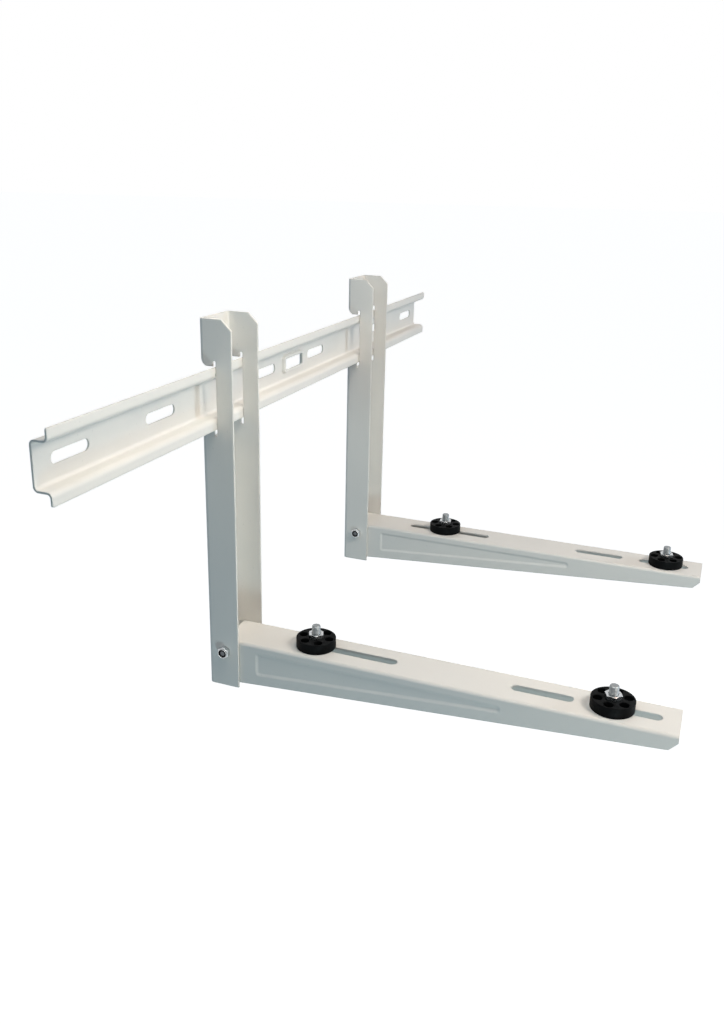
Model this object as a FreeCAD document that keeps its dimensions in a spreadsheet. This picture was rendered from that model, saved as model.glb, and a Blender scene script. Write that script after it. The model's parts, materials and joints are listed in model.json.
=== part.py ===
import FreeCAD, Part
import math
import os
import re
import Sketcher

# Wall bracket with a crossbar: a folded rail on the wall, two uprights hooked over it, two
# fold-up arms, and round pads clamped on the arms. Millimetres and degrees throughout.
# +X runs along the rail, to the right as seen from the room. The wall is the plane Y = 0, with
# +Y into the wall, so what stands off the wall has a negative Y. +Z is up. The origin is the
# middle of the rail's back face.

SIZES = {
    # Rail: a hat section with its two lips turned outwards at the front
    "rail_length": 800,
    "rail_sheet": 1.5,
    "rail_web_height": 36.8,
    "rail_lip_reach": 8.7,
    "rail_depth": 15,
    "rail_bend": 4.2,
    "rail_corner": 1.5,
    "wall_slot_length": 42,
    "wall_slot_width": 9,
    "wall_slot_before_end": 39.6,
    "wall_slot_step": 114.4,
    "wall_slot_inner": 59.8,
    # Level window: an opening in a raised frame at the middle of the rail
    "window_length": 40,
    "window_height": 11,
    "window_corner": 1.5,
    "window_border": 2.7,
    "window_rise": 3,
    "window_slope": 1.2,
    # Uprights: channels open to the room
    "left_bracket_place": -155.8,
    "right_bracket_place": 180.1,
    "upright_depth": 30.5,
    "upright_sheet": 2,
    "upright_bend": 4,
    "upright_above": 67.4,
    "upright_below": 275.1,
    "upright_chamfer": 9,
    # Hook: the cut-out that the rail passes through, with notches for its lips
    "hook_front_play": 0.4,
    "hook_end_play": 0.6,
    "hook_notch_width": 3,
    "hook_notch_up": 5.4,
    "hook_notch_down": 6.4,
    "hook_mouth": 38.4,
    "hook_mouth_round": 12.5,
    # Pivots: an M6 bolt and a lock nut across each upright
    "pivot_off_wall": 17,
    "pivot_above_foot": 35.6,
    "pivot_diameter": 6,
    "pivot_play": 0.05,
    "pivot_flats": 10,
    "pivot_head_height": 4,
    "pivot_nut_height": 4.4,
    "pivot_collar_height": 1.6,
    "pivot_collar_diameter": 8.8,
    "pivot_bolt_recess": 0.6,
    # Arms: tapered channels open below
    "arm_width": 45,
    "arm_side_play": 0.5,
    "arm_sheet": 2,
    "arm_bend": 3,
    "arm_top_over_pivot": 10.8,
    "arm_reach": 417.7,
    "arm_heel_play": 1,
    "arm_heel_depth": 43.8,
    "arm_tip_depth": 13.6,
    "arm_tip_chamfer": 7,
    "arm_plate_start": 14,
    "arm_slot_width": 10,
    "rear_slot_start": 78.8,
    "rear_slot_length": 98.2,
    "middle_slot_length": 52.7,
    "front_slot_length": 52.9,
    "front_slot_before_tip": 14.4,
    "front_slot_bridge": 18,
    # Pressed panels in the sides of the arms
    "panel_start": 47,
    "panel_end_height": 6.92,
    "panel_below_top": 7.5,
    "panel_over_edge": 9.5,
    "panel_round": 3.3,
    "panel_depth": 1,
    "panel_slope": 2.6,
    # Pads, each clamped by an M8 bolt, a washer and a thin nut
    "left_rear_pad_off_wall": 98.4,
    "left_front_pad_before_tip": 54.3,
    "right_rear_pad_off_wall": 122.6,
    "right_front_pad_before_tip": 38.7,
    "left_rear_pad_turn": 30,
    "left_front_pad_turn": 50,
    "right_rear_pad_turn": 35,
    "right_front_pad_turn": 40,
    "pad_diameter": 36.5,
    "pad_height": 9.5,
    "pad_hole_diameter": 8.2,
    "pad_hole_ring": 12.7,
    "stud_diameter": 8,
    "stud_play": 0.1,
    "stud_engaged_diameter": 7.2,
    "stud_runout": 0.4,
    "stud_flats": 13,
    "stud_head_height": 5.3,
    "stud_nut_height": 4,
    "stud_end": 7.5,
    "washer_diameter": 24,
    "washer_height": 2,
}

# Places that follow from the sizes, as formulas of them
WALL_SLOT_OUTER = "(rail_length / 2 - wall_slot_before_end)"
WALL_SLOT_MIDDLE = f"({WALL_SLOT_OUTER} - wall_slot_step)"
LIP_TOP = "(rail_web_height / 2 + rail_lip_reach)"
HOOK_FRONT = "(rail_depth + hook_front_play)"
HOOK_NOTCH_BACK = f"({HOOK_FRONT} - hook_notch_width)"
HOOK_EDGE = f"({LIP_TOP} + hook_end_play)"
UPRIGHT_SIDE = "(arm_width / 2 + arm_side_play + upright_sheet)"
HEEL_RADIUS = "(pivot_off_wall - upright_sheet - arm_heel_play)"
ARM_BACK = "(upright_sheet + arm_heel_play)"
PIVOT_DROP = "(upright_below - pivot_above_foot)"
ARM_TOP = f"(arm_top_over_pivot - {PIVOT_DROP})"
ARM_SLOPE = f"((arm_heel_depth - arm_tip_depth) / (arm_reach - {ARM_BACK}))"
FRONT_SLOT = "(arm_reach - front_slot_before_tip - front_slot_length)"
MIDDLE_SLOT = f"({FRONT_SLOT} - front_slot_bridge - middle_slot_length)"
PANEL_HEEL_HEIGHT = "(arm_heel_depth - panel_below_top - panel_over_edge)"
PANEL_END = f"({ARM_BACK} + ({PANEL_HEEL_HEIGHT} - panel_end_height) / {ARM_SLOPE})"

WORD = re.compile(r"[a-z_]+")

doc = FreeCAD.newDocument("WallBracket")
sheet = doc.addObject("Spreadsheet::Sheet", "Sizes")
for row, (word, amount) in enumerate(SIZES.items(), start=1):
    sheet.set(f"A{row}", word)
    sheet.set(f"B{row}", str(amount))
    sheet.setAlias(f"B{row}", word)
doc.recompute()


def cells(formula):
    """Write a formula of size names as a formula of the sheet's cells."""
    def cell(match):
        word = match.group()
        return "Sizes." + word if word in SIZES else word
    return WORD.sub(cell, formula)


def amount_of(formula):
    """Work out a formula of size names."""
    return float(sheet.evalExpression(cells(formula)))


def bind(item, name, formula):
    """Tie a property of an object to the sheet."""
    item.setExpression(name, cells(formula))


def new_body(label, place="0", off_wall="0", height="0", rotation=None):
    """Start a body at a place along the rail, off the wall and up."""
    body = doc.addObject("PartDesign::Body", label)
    body.Label = label
    if rotation is not None:
        body.Placement = FreeCAD.Placement(FreeCAD.Vector(), rotation)
    bind(body, "Placement.Base.x", place)
    bind(body, "Placement.Base.y", f"-({off_wall})")
    bind(body, "Placement.Base.z", height)
    return body


def origin_part(body, role):
    """Find one of a body's own origin planes or axes."""
    return next(item for item in body.Origin.OriginFeatures if item.Role == role)


def new_sketch(body, name, role, lift="0"):
    """Add a sketch on one of the body's planes, lifted along the plane's normal."""
    sketch = body.newObject("Sketcher::SketchObject", f"{body.Name}_{name}")
    sketch.AttachmentSupport = [(origin_part(body, role), "")]
    sketch.MapMode = "FlatFace"
    bind(sketch, "AttachmentOffset.Base.z", lift)
    return sketch


def constrain(sketch, kind, *where, formula=None):
    """Add a constraint to a sketch, tied to the sheet if it holds a size."""
    if formula is None:
        sketch.addConstraint(Sketcher.Constraint(kind, *where))
        return
    index = sketch.addConstraint(Sketcher.Constraint(kind, *where, amount_of(formula)))
    bind(sketch, f"Constraints[{index}]", formula)


def fix_point(sketch, geometry, end, across, along, free=None):
    """Hold a point of a sketch at two formulas, or at one if an arc sets the other."""
    if free != "x":
        constrain(sketch, "DistanceX", -1, 1, geometry, end, formula=across)
    if free != "y":
        constrain(sketch, "DistanceY", -1, 1, geometry, end, formula=along)


def arc_between(centre, start, stop, turn):
    """Make the arc from start to stop, anticlockwise where turn is 1."""
    radius = start.distanceToPoint(centre)
    angles = [math.atan2(point.y - centre.y, point.x - centre.x) for point in (start, stop)]
    first, last = angles if turn == 1 else reversed(angles)
    if last <= first:
        last += 2 * math.pi
    return Part.ArcOfCircle(Part.Circle(centre, FreeCAD.Vector(0, 0, 1), radius), first, last)


def draw_profile(sketch, corners, arcs=None):
    """Draw a closed profile through corners, each two formulas and the name of a free coordinate.

    arcs gives, for the corner that an arc starts from, its centre as two formulas and its turn.
    """
    arcs = arcs or {}
    points = [FreeCAD.Vector(amount_of(corner[0]), amount_of(corner[1]), 0) for corner in corners]
    edges = []
    for index, start in enumerate(points):
        stop = points[(index + 1) % len(points)]
        if index in arcs:
            across, along, turn = arcs[index]
            centre = FreeCAD.Vector(amount_of(across), amount_of(along), 0)
            edges.append(sketch.addGeometry(arc_between(centre, start, stop, turn)))
        else:
            edges.append(sketch.addGeometry(Part.LineSegment(start, stop)))
    # An anticlockwise arc runs from its point 1 to its point 2, a clockwise one the other way
    starts = [2 if index in arcs and arcs[index][2] == -1 else 1 for index in range(len(points))]
    for index, edge in enumerate(edges):
        following = (index + 1) % len(edges)
        constrain(sketch, "Coincident", edge, 3 - starts[index], edges[following], starts[following])
        corner = corners[index]
        fix_point(sketch, edge, starts[index], *corner)
        if index in arcs:
            fix_point(sketch, edge, 3, arcs[index][0], arcs[index][1])


def draw_rounded(sketch, corners, radius):
    """Draw a closed anticlockwise outline whose corners are all rounded by one radius."""
    points = [FreeCAD.Vector(amount_of(across), amount_of(along), 0) for across, along in corners]
    size = amount_of(radius)
    count = len(points)
    ends = []
    centres = []
    for index, point in enumerate(points):
        back = (points[index - 1] - point).normalize()
        ahead = (points[(index + 1) % count] - point).normalize()
        half_angle = back.getAngle(ahead) / 2
        setback = size / math.tan(half_angle)
        ends.append((point + back * setback, point + ahead * setback))
        middle = (back + ahead).normalize()
        centres.append(point + middle * (size / math.sin(half_angle)))
    lines = []
    bends = []
    for index in range(count):
        following = (index + 1) % count
        lines.append(sketch.addGeometry(Part.LineSegment(ends[index][1], ends[following][0])))
    for index in range(count):
        arc = arc_between(centres[index], ends[index][0], ends[index][1], 1)
        bends.append(sketch.addGeometry(arc))
    for index, (across, along) in enumerate(corners):
        corner = sketch.addGeometry(Part.Point(points[index]), True)
        fix_point(sketch, corner, 1, across, along)
        constrain(sketch, "PointOnObject", corner, 1, lines[index])
        constrain(sketch, "PointOnObject", corner, 1, lines[index - 1])
        constrain(sketch, "Tangent", lines[index - 1], 2, bends[index], 1)
        constrain(sketch, "Tangent", bends[index], 2, lines[index], 1)
        constrain(sketch, "Radius", bends[index], formula=radius)


def draw_circle(sketch, across, along, diameter):
    """Draw a circle at two formulas."""
    centre = FreeCAD.Vector(amount_of(across), amount_of(along), 0)
    circle = Part.Circle(centre, FreeCAD.Vector(0, 0, 1), amount_of(diameter) / 2)
    edge = sketch.addGeometry(circle)
    fix_point(sketch, edge, 3, across, along)
    constrain(sketch, "Diameter", edge, formula=diameter)


def draw_slot(sketch, middle, start, length, width, along_x):
    """Draw a round-ended slot that starts at one formula and runs along an axis of the sketch."""
    half = f"({width}) / 2"
    low = f"({start}) + {half}"
    high = f"({start}) + ({length}) - {half}"
    near = f"({middle}) - {half}"
    far = f"({middle}) + {half}"
    if along_x:
        corners = [(low, near), (high, near), (high, far, "y"), (low, far, "y")]
        arcs = {1: (high, middle, 1), 3: (low, middle, 1)}
    else:
        corners = [(far, low), (far, high), (near, high, "x"), (near, low, "x")]
        arcs = {1: (middle, high, 1), 3: (middle, low, 1)}
    draw_profile(sketch, corners, arcs)


def draw_hexagon(sketch, flats):
    """Draw a hexagon round the sketch's origin, with two corners on its X axis."""
    reach = f"({flats}) / sqrt(3)"
    half = f"({flats}) / 2"
    short = f"({flats}) / sqrt(12)"
    corners = [(reach, "0"), (short, half), (f"-{short}", half)]
    corners += [(f"-{reach}", "0"), (f"-{short}", f"-{half}"), (short, f"-{half}")]
    draw_profile(sketch, corners)


def finish(feature):
    """Work a feature out and make sure that it changed the solid."""
    doc.recompute()
    if "Invalid" in feature.State or "Error" in feature.State or not feature.Shape.isValid():
        raise RuntimeError(f"{feature.Name} failed: {feature.State}")
    base = feature.BaseFeature
    if base is not None and abs(base.Shape.Volume - feature.Shape.Volume) < 1e-6:
        raise RuntimeError(f"{feature.Name} changes nothing")
    return feature


def add_pad(body, sketch, length, both_ways=False, reverse=False, taper=None):
    """Add material from a sketch."""
    pad = body.newObject("PartDesign::Pad", f"{sketch.Name}_pad")
    pad.Profile = sketch
    bind(pad, "Length", length)
    pad.SideType = "Symmetric" if both_ways else "One side"
    pad.Reversed = reverse
    if taper is not None:
        bind(pad, "TaperAngle", taper)
    return finish(pad)


def cut_pocket(body, sketch, length=None, both_ways=False, reverse=False, taper=None):
    """Cut material at a sketch, through everything unless a length is given."""
    pocket = body.newObject("PartDesign::Pocket", f"{sketch.Name}_cut")
    pocket.Profile = sketch
    if length is None:
        pocket.Type = "ThroughAll"
    else:
        bind(pocket, "Length", length)
    pocket.SideType = "Symmetric" if both_ways else "One side"
    pocket.Reversed = reverse
    if taper is not None:
        bind(pocket, "TaperAngle", taper)
    return finish(pocket)


def mirror(body, features, role):
    """Repeat features on the other side of one of the body's planes."""
    copy = body.newObject("PartDesign::Mirrored", f"{features[-1].Name}_mirror")
    copy.Originals = features
    copy.MirrorPlane = (origin_part(body, role), [""])
    body.Tip = copy
    return finish(copy)


def edges_at(feature, places):
    """Name the edges of a feature whose middle lies at one of the places."""
    names = []
    for index, edge in enumerate(feature.Shape.Edges, start=1):
        middle = edge.CenterOfMass
        if any(middle.distanceToPoint(FreeCAD.Vector(*place)) < 0.01 for place in places):
            names.append(f"Edge{index}")
    if len(names) != len(places):
        raise RuntimeError(f"{feature.Name}: found {len(names)} edges of {len(places)}")
    return names


def round_edges(body, base, places, radius):
    """Round the edges at the places."""
    fillet = body.newObject("PartDesign::Fillet", f"{base.Name}_round")
    fillet.Base = (base, edges_at(base, places))
    bind(fillet, "Radius", radius)
    return finish(fillet)


def chamfer_edges(body, base, places, size):
    """Chamfer the edges at the places by the same size both ways."""
    chamfer = body.newObject("PartDesign::Chamfer", f"{base.Name}_chamfer")
    chamfer.Base = (base, edges_at(base, places))
    bind(chamfer, "Size", size)
    return finish(chamfer)


def make_rail():
    """Fold the rail's hat section, cut its wall slots and raise the level window."""
    body = new_body("wall_rail")
    section = new_sketch(body, "section", "YZ_Plane")
    web = "rail_web_height / 2"
    inner = f"{web} - rail_sheet"
    lip_back = "rail_sheet - rail_depth"
    upper = [("0", web), (lip_back, web), (lip_back, LIP_TOP), ("-rail_depth", LIP_TOP)]
    upper += [("-rail_depth", inner), ("-rail_sheet", inner)]
    lower = [(across, f"-({along})") for across, along in reversed(upper)]
    draw_profile(section, upper + lower)
    bar = add_pad(body, section, "rail_length", both_ways=True)

    depth = amount_of("rail_depth")
    skin = amount_of("rail_sheet")
    outside = amount_of(web)
    inside = amount_of(inner)
    outer_bends = [(0, 0, sign * outside) for sign in (1, -1)]
    outer_bends += [(0, -depth, sign * inside) for sign in (1, -1)]
    bar = round_edges(body, bar, outer_bends, "rail_bend")
    inner_bends = [(0, -skin, sign * inside) for sign in (1, -1)]
    inner_bends += [(0, skin - depth, sign * outside) for sign in (1, -1)]
    bar = round_edges(body, bar, inner_bends, "rail_bend - rail_sheet")
    end = amount_of("rail_length") / 2
    lip = amount_of(LIP_TOP)
    lip_corners = [(x, skin / 2 - depth, z) for x in (-end, end) for z in (-lip, lip)]
    round_edges(body, bar, lip_corners, "rail_corner")

    slots = new_sketch(body, "wall_slots", "XZ_Plane")
    for middle in (WALL_SLOT_OUTER, WALL_SLOT_MIDDLE, "wall_slot_inner"):
        start = f"{middle} - wall_slot_length / 2"
        draw_slot(slots, "0", start, "wall_slot_length", "wall_slot_width", True)
    slots_cut = cut_pocket(body, slots, both_ways=True)
    mirror(body, [slots_cut], "YZ_Plane")
    raise_window(body)
    return body


def draw_window(sketch, margin):
    """Draw the level window's outline, grown by a margin, with corners that grow with it."""
    across = f"(window_length / 2 + {margin})"
    along = f"(window_height / 2 + {margin})"
    corners = [(across, along), (f"-{across}", along), (f"-{across}", f"-{along}")]
    corners += [(across, f"-{along}")]
    draw_rounded(sketch, corners, f"window_corner + {margin}")


def raise_window(body):
    """Press the window's frame out of the web and open the window in it."""
    foot = "(window_border + window_slope)"
    slope = "atan(window_slope / window_rise)"
    frame = new_sketch(body, "window_frame", "XZ_Plane", lift="rail_sheet")
    draw_window(frame, foot)
    add_pad(body, frame, "window_rise", taper=f"-{slope}")
    hollow = new_sketch(body, "window_hollow", "XZ_Plane")
    draw_window(hollow, f"({foot} - rail_sheet)")
    cut_pocket(body, hollow, "window_rise", reverse=True, taper=f"-{slope}")
    window = new_sketch(body, "window", "XZ_Plane")
    draw_window(window, "0")
    cut_pocket(body, window, both_ways=True)


def make_upright(label, place):
    """Fold an upright, cut the hook for the rail and drill it for the pivot bolt."""
    body = new_body(label, place)
    section = new_sketch(body, "section", "XY_Plane", lift="-upright_below")
    inner = f"{UPRIGHT_SIDE} - upright_sheet"
    half = [(UPRIGHT_SIDE, "0"), (UPRIGHT_SIDE, "-upright_depth")]
    half += [(inner, "-upright_depth"), (inner, "-upright_sheet")]
    other = [(f"-({across})", along) for across, along in reversed(half)]
    draw_profile(section, half + other)
    channel = add_pad(body, section, "upright_below + upright_above")

    skin = amount_of("upright_sheet")
    depth = amount_of("upright_depth")
    top = amount_of("upright_above")
    centre = (top - amount_of("upright_below")) / 2
    outside = amount_of(UPRIGHT_SIDE)
    inside = amount_of(inner)
    outer_bends = [(sign * outside, 0, centre) for sign in (1, -1)]
    channel = round_edges(body, channel, outer_bends, "upright_bend")
    inner_bends = [(sign * inside, -skin, centre) for sign in (1, -1)]
    channel = round_edges(body, channel, inner_bends, "upright_bend - upright_sheet")
    wall = (outside + inside) / 2
    corners = [(sign * wall, -depth, top) for sign in (1, -1)]
    chamfer_edges(body, channel, corners, "upright_chamfer")

    cut_hook(body)
    hole = new_sketch(body, "pivot_hole", "YZ_Plane")
    draw_circle(hole, "-pivot_off_wall", f"-{PIVOT_DROP}", "pivot_diameter + 2 * pivot_play")
    cut_pocket(body, hole, both_ways=True)
    return body


def cut_hook(body):
    """Cut the rail's passage: a mouth in the web, rounded shoulders and notches for the lips."""
    front = f"-{HOOK_FRONT}"
    notch_back = f"-{HOOK_NOTCH_BACK}"
    notch_middle = f"-({HOOK_FRONT} - hook_notch_width / 2)"
    round_depth = "(hook_mouth_round - sqrt(hook_mouth_round^2 - shoulder^2))"
    shoulder = f"(hook_mouth - {HOOK_EDGE})"
    shoulder_depth = round_depth.replace("shoulder", shoulder)

    def half(reach):
        """List the corners on one side of the rail, from the front to the mouth."""
        end = f"({LIP_TOP} + {reach} - hook_notch_width / 2)"
        tip = f"({LIP_TOP} + {reach})"
        return [(front, end), (notch_middle, tip, "y"), (notch_back, end, "x"),
                (notch_back, HOOK_EDGE), (f"-{shoulder_depth}", HOOK_EDGE, "x"),
                ("0", "hook_mouth"), ("upright_sheet", "hook_mouth")]

    upper = half("hook_notch_up")
    lower = half("hook_notch_down")
    lower = [(corner[0], f"-{corner[1]}", *corner[2:]) for corner in reversed(lower)]
    upper_end = upper[0][1]
    lower_end = lower[-1][1]
    # The profile runs up the front, over the upper half to the wall, and back along the lower half
    arcs = {
        0: (notch_middle, upper_end, -1),
        1: (notch_middle, upper_end, -1),
        4: ("-hook_mouth_round", "hook_mouth", 1),
        8: ("-hook_mouth_round", "-hook_mouth", 1),
        11: (notch_middle, lower_end, -1),
        12: (notch_middle, lower_end, -1),
    }
    sides = new_sketch(body, "hook", "YZ_Plane")
    draw_profile(sides, upper + lower, arcs)
    cut_pocket(body, sides, both_ways=True)

    mouth = new_sketch(body, "mouth", "XZ_Plane", lift="upright_sheet")
    flat = f"({UPRIGHT_SIDE} - upright_bend)"
    corners = [(flat, "hook_mouth"), (f"-{flat}", "hook_mouth")]
    corners += [(f"-{flat}", "-hook_mouth"), (flat, "-hook_mouth")]
    draw_profile(mouth, corners)
    cut_pocket(body, mouth)


def make_arm(label, place):
    """Fold an arm, press its side panels, slot its top and drill it for the pivot bolt."""
    body = new_body(label, place)
    side = new_sketch(body, "side", "YZ_Plane")
    back = f"-{ARM_BACK}"
    heel_end = f"(sqrt({HEEL_RADIUS}^2 - arm_top_over_pivot^2) - pivot_off_wall)"
    corners = [(back, f"-{PIVOT_DROP}"), (heel_end, ARM_TOP, "x"), ("-arm_reach", ARM_TOP)]
    corners += [("-arm_reach", f"{ARM_TOP} - arm_tip_depth"), (back, f"{ARM_TOP} - arm_heel_depth")]
    draw_profile(side, corners, {0: ("-pivot_off_wall", f"-{PIVOT_DROP}", 1)})
    channel = add_pad(body, side, "arm_width", both_ways=True)

    top = amount_of(ARM_TOP)
    reach = amount_of("arm_reach")
    skin = amount_of("arm_sheet")
    outside = amount_of("arm_width") / 2
    inside = outside - skin
    middle = (amount_of(heel_end) - reach) / 2
    bends = [(sign * outside, middle, top) for sign in (1, -1)]
    round_edges(body, channel, bends, "arm_bend")

    hollow = new_sketch(body, "hollow", "XZ_Plane")
    across = "(arm_width / 2 - arm_sheet)"
    roof = f"{ARM_TOP} - arm_sheet"
    floor = f"{ARM_TOP} - arm_heel_depth - arm_sheet"
    draw_profile(hollow, [(across, floor), (across, roof), (f"-{across}", roof), (f"-{across}", floor)])
    channel = cut_pocket(body, hollow, both_ways=True)
    roof_back = math.sqrt(amount_of(HEEL_RADIUS) ** 2 - (amount_of("arm_top_over_pivot") - skin) ** 2)
    roof_middle = (roof_back - amount_of("pivot_off_wall") - reach) / 2
    bends = [(sign * inside, roof_middle, top - skin) for sign in (1, -1)]
    channel = round_edges(body, channel, bends, "arm_bend - arm_sheet")
    wall = (outside + inside) / 2
    tip_bottom = top - amount_of("arm_tip_depth")
    tips = [(sign * wall, -reach, tip_bottom) for sign in (1, -1)]
    chamfer_edges(body, channel, tips, "arm_tip_chamfer")

    plate_end = new_sketch(body, "plate_end", "XY_Plane")
    corners = [(across, "-arm_plate_start"), (across, "0"), (f"-{across}", "0")]
    corners += [(f"-{across}", "-arm_plate_start")]
    draw_profile(plate_end, corners)
    cut_pocket(body, plate_end)
    slots = new_sketch(body, "slots", "XY_Plane")
    starts = {"rear_slot": "rear_slot_start", "middle_slot": MIDDLE_SLOT, "front_slot": FRONT_SLOT}
    for name, start in starts.items():
        length = f"{name}_length"
        draw_slot(slots, "0", f"-({start} + {length})", length, "arm_slot_width", False)
    cut_pocket(body, slots)
    press_panels(body)
    hole = new_sketch(body, "pivot_hole", "YZ_Plane")
    draw_circle(hole, "-pivot_off_wall", f"-{PIVOT_DROP}", "pivot_diameter + 2 * pivot_play")
    cut_pocket(body, hole, both_ways=True)
    return body


def draw_panel(sketch, inset):
    """Draw the pressed panel's outline, inset all round, its lower edge along the tapered edge."""
    upper = f"({ARM_TOP} - panel_below_top - {inset})"
    drop = f"{ARM_TOP} - arm_heel_depth + panel_over_edge + {inset}"
    near = f"(panel_start + {inset})"
    far = f"({PANEL_END} - {inset})"
    corners = [(f"-{near}", upper), (f"-{far}", upper)]
    corners += [(f"-{far}", f"{drop} + {ARM_SLOPE} * ({far} - {ARM_BACK})")]
    corners += [(f"-{near}", f"{drop} + {ARM_SLOPE} * ({near} - {ARM_BACK})")]
    draw_rounded(sketch, corners, f"panel_round - {inset}")


def loft_panel(body, kind, name, face):
    """Loft the panel from its outline in a face of the side to the inset floor inside of it."""
    rim = new_sketch(body, f"{name}_rim", "YZ_Plane", lift=face)
    draw_panel(rim, "0")
    floor = new_sketch(body, f"{name}_floor", "YZ_Plane", lift=f"{face} - panel_depth")
    draw_panel(floor, "panel_slope")
    loft = body.newObject(kind, f"{body.Name}_{name}")
    loft.Profile = rim
    loft.Sections = [(floor, [""])]
    loft.Ruled = True
    return finish(loft)


def press_panels(body):
    """Press a panel inwards in both sides, sunk outside and raised inside by the same depth."""
    raised = loft_panel(body, "PartDesign::AdditiveLoft", "panel_inside", "arm_width / 2 - arm_sheet")
    sunk = loft_panel(body, "PartDesign::SubtractiveLoft", "panel_outside", "arm_width / 2")
    mirror(body, [raised, sunk], "YZ_Plane")


def make_bolt(body, flats, head_height, diameter, length):
    """Make a hex bolt that points up, with the bearing face of its head at the body's origin."""
    head = new_sketch(body, "head", "XY_Plane")
    draw_hexagon(head, flats)
    add_pad(body, head, head_height, reverse=True)
    shank = new_sketch(body, "shank", "XY_Plane")
    draw_circle(shank, "0", "0", diameter)
    add_pad(body, shank, length)


def make_pad_bolt(label, place, off_wall):
    """Stand a pad's bolt in the arm's slot, its head under the washer.

    Its thread has the pitch diameter where the nut holds it and the full diameter above.
    """
    height = f"{ARM_TOP} - arm_sheet - washer_height"
    body = new_body(label, place, off_wall, height)
    grip = "washer_height + arm_sheet + pad_height"
    make_bolt(body, "stud_flats", "stud_head_height", "stud_diameter", grip)
    engaged = new_sketch(body, "engaged", "XY_Plane", lift=grip)
    draw_circle(engaged, "0", "0", "stud_engaged_diameter")
    add_pad(body, engaged, "stud_nut_height + stud_runout")
    end = new_sketch(body, "end", "XY_Plane", lift=f"{grip} + stud_nut_height + stud_runout")
    draw_circle(end, "0", "0", "stud_diameter")
    add_pad(body, end, "stud_end - stud_runout")
    return body


def make_pad_washer(label, place, off_wall):
    """Lay a pad's washer against the underside of the arm's top."""
    body = new_body(label, place, off_wall, f"{ARM_TOP} - arm_sheet - washer_height")
    ring = new_sketch(body, "ring", "XY_Plane")
    draw_circle(ring, "0", "0", "washer_diameter")
    draw_circle(ring, "0", "0", "stud_diameter + 2 * stud_play")
    add_pad(body, ring, "washer_height")
    return body


def make_pad(label, place, off_wall, turn):
    """Mould a pad with its bore and its ring of six holes."""
    body = new_body(label, place, off_wall, ARM_TOP)
    disc = new_sketch(body, "disc", "XY_Plane")
    draw_circle(disc, "0", "0", "pad_diameter")
    add_pad(body, disc, "pad_height")
    bore = new_sketch(body, "bore", "XY_Plane")
    draw_circle(bore, "0", "0", "stud_diameter + 2 * stud_play")
    cut_pocket(body, bore, reverse=True)
    hole = new_sketch(body, "hole", "XY_Plane")
    across = f"pad_hole_ring * cos({turn})"
    along = f"pad_hole_ring * sin({turn})"
    draw_circle(hole, across, along, "pad_hole_diameter")
    first = cut_pocket(body, hole, reverse=True)
    ring = body.newObject("PartDesign::PolarPattern", f"{hole.Name}_ring")
    ring.Originals = [first]
    ring.Axis = (origin_part(body, "Z_Axis"), [""])
    ring.Angle = 360
    ring.Occurrences = 6
    body.Tip = ring
    finish(ring)
    return body


def make_pad_nut(label, place, off_wall):
    """Seat a pad's thin nut on the pad."""
    body = new_body(label, place, off_wall, f"{ARM_TOP} + pad_height")
    hexagon = new_sketch(body, "hexagon", "XY_Plane")
    draw_hexagon(hexagon, "stud_flats")
    add_pad(body, hexagon, "stud_nut_height")
    bore = new_sketch(body, "bore", "XY_Plane")
    draw_circle(bore, "0", "0", "stud_engaged_diameter + 2 * stud_play")
    cut_pocket(body, bore, reverse=True)
    return body


def make_pivot_bolt(label, place):
    """Put a pivot bolt across an upright, its head on the right side."""
    turned = FreeCAD.Rotation(FreeCAD.Vector(0, 1, 0), -90)
    side = f"{place} + {UPRIGHT_SIDE}"
    body = new_body(label, side, "pivot_off_wall", f"-{PIVOT_DROP}", turned)
    nut = "pivot_nut_height + pivot_collar_height"
    length = f"2 * {UPRIGHT_SIDE} + {nut} - pivot_bolt_recess"
    make_bolt(body, "pivot_flats", "pivot_head_height", "pivot_diameter", length)
    return body


def make_pivot_nut(label, place):
    """Seat a lock nut on the left side of an upright, its round collar outwards."""
    turned = FreeCAD.Rotation(FreeCAD.Vector(0, 1, 0), -90)
    side = f"{place} - {UPRIGHT_SIDE}"
    body = new_body(label, side, "pivot_off_wall", f"-{PIVOT_DROP}", turned)
    hexagon = new_sketch(body, "hexagon", "XY_Plane")
    draw_hexagon(hexagon, "pivot_flats")
    add_pad(body, hexagon, "pivot_nut_height")
    collar = new_sketch(body, "collar", "XY_Plane", lift="pivot_nut_height")
    draw_circle(collar, "0", "0", "pivot_collar_diameter")
    add_pad(body, collar, "pivot_collar_height")
    bore = new_sketch(body, "bore", "XY_Plane")
    draw_circle(bore, "0", "0", "pivot_diameter + 2 * pivot_play")
    cut_pocket(body, bore, reverse=True)
    return body


def make_parts():
    """Make every sub-part of the bracket."""
    bodies = [make_rail()]
    for hand in ("left", "right"):
        place = f"{hand}_bracket_place"
        bodies.append(make_upright(f"{hand}_upright", place))
        bodies.append(make_arm(f"{hand}_arm", place))
        bodies.append(make_pivot_bolt(f"{hand}_pivot_bolt", place))
        bodies.append(make_pivot_nut(f"{hand}_pivot_nut", place))
        for end in ("rear", "front"):
            name = f"{hand}_{end}_pad"
            off_wall = f"{name}_off_wall" if end == "rear" else f"arm_reach - {name}_before_tip"
            bodies.append(make_pad(name, place, off_wall, f"{name}_turn"))
            bodies.append(make_pad_bolt(f"{name}_bolt", place, off_wall))
            bodies.append(make_pad_washer(f"{name}_washer", place, off_wall))
            bodies.append(make_pad_nut(f"{name}_nut", place, off_wall))
    return bodies


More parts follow.
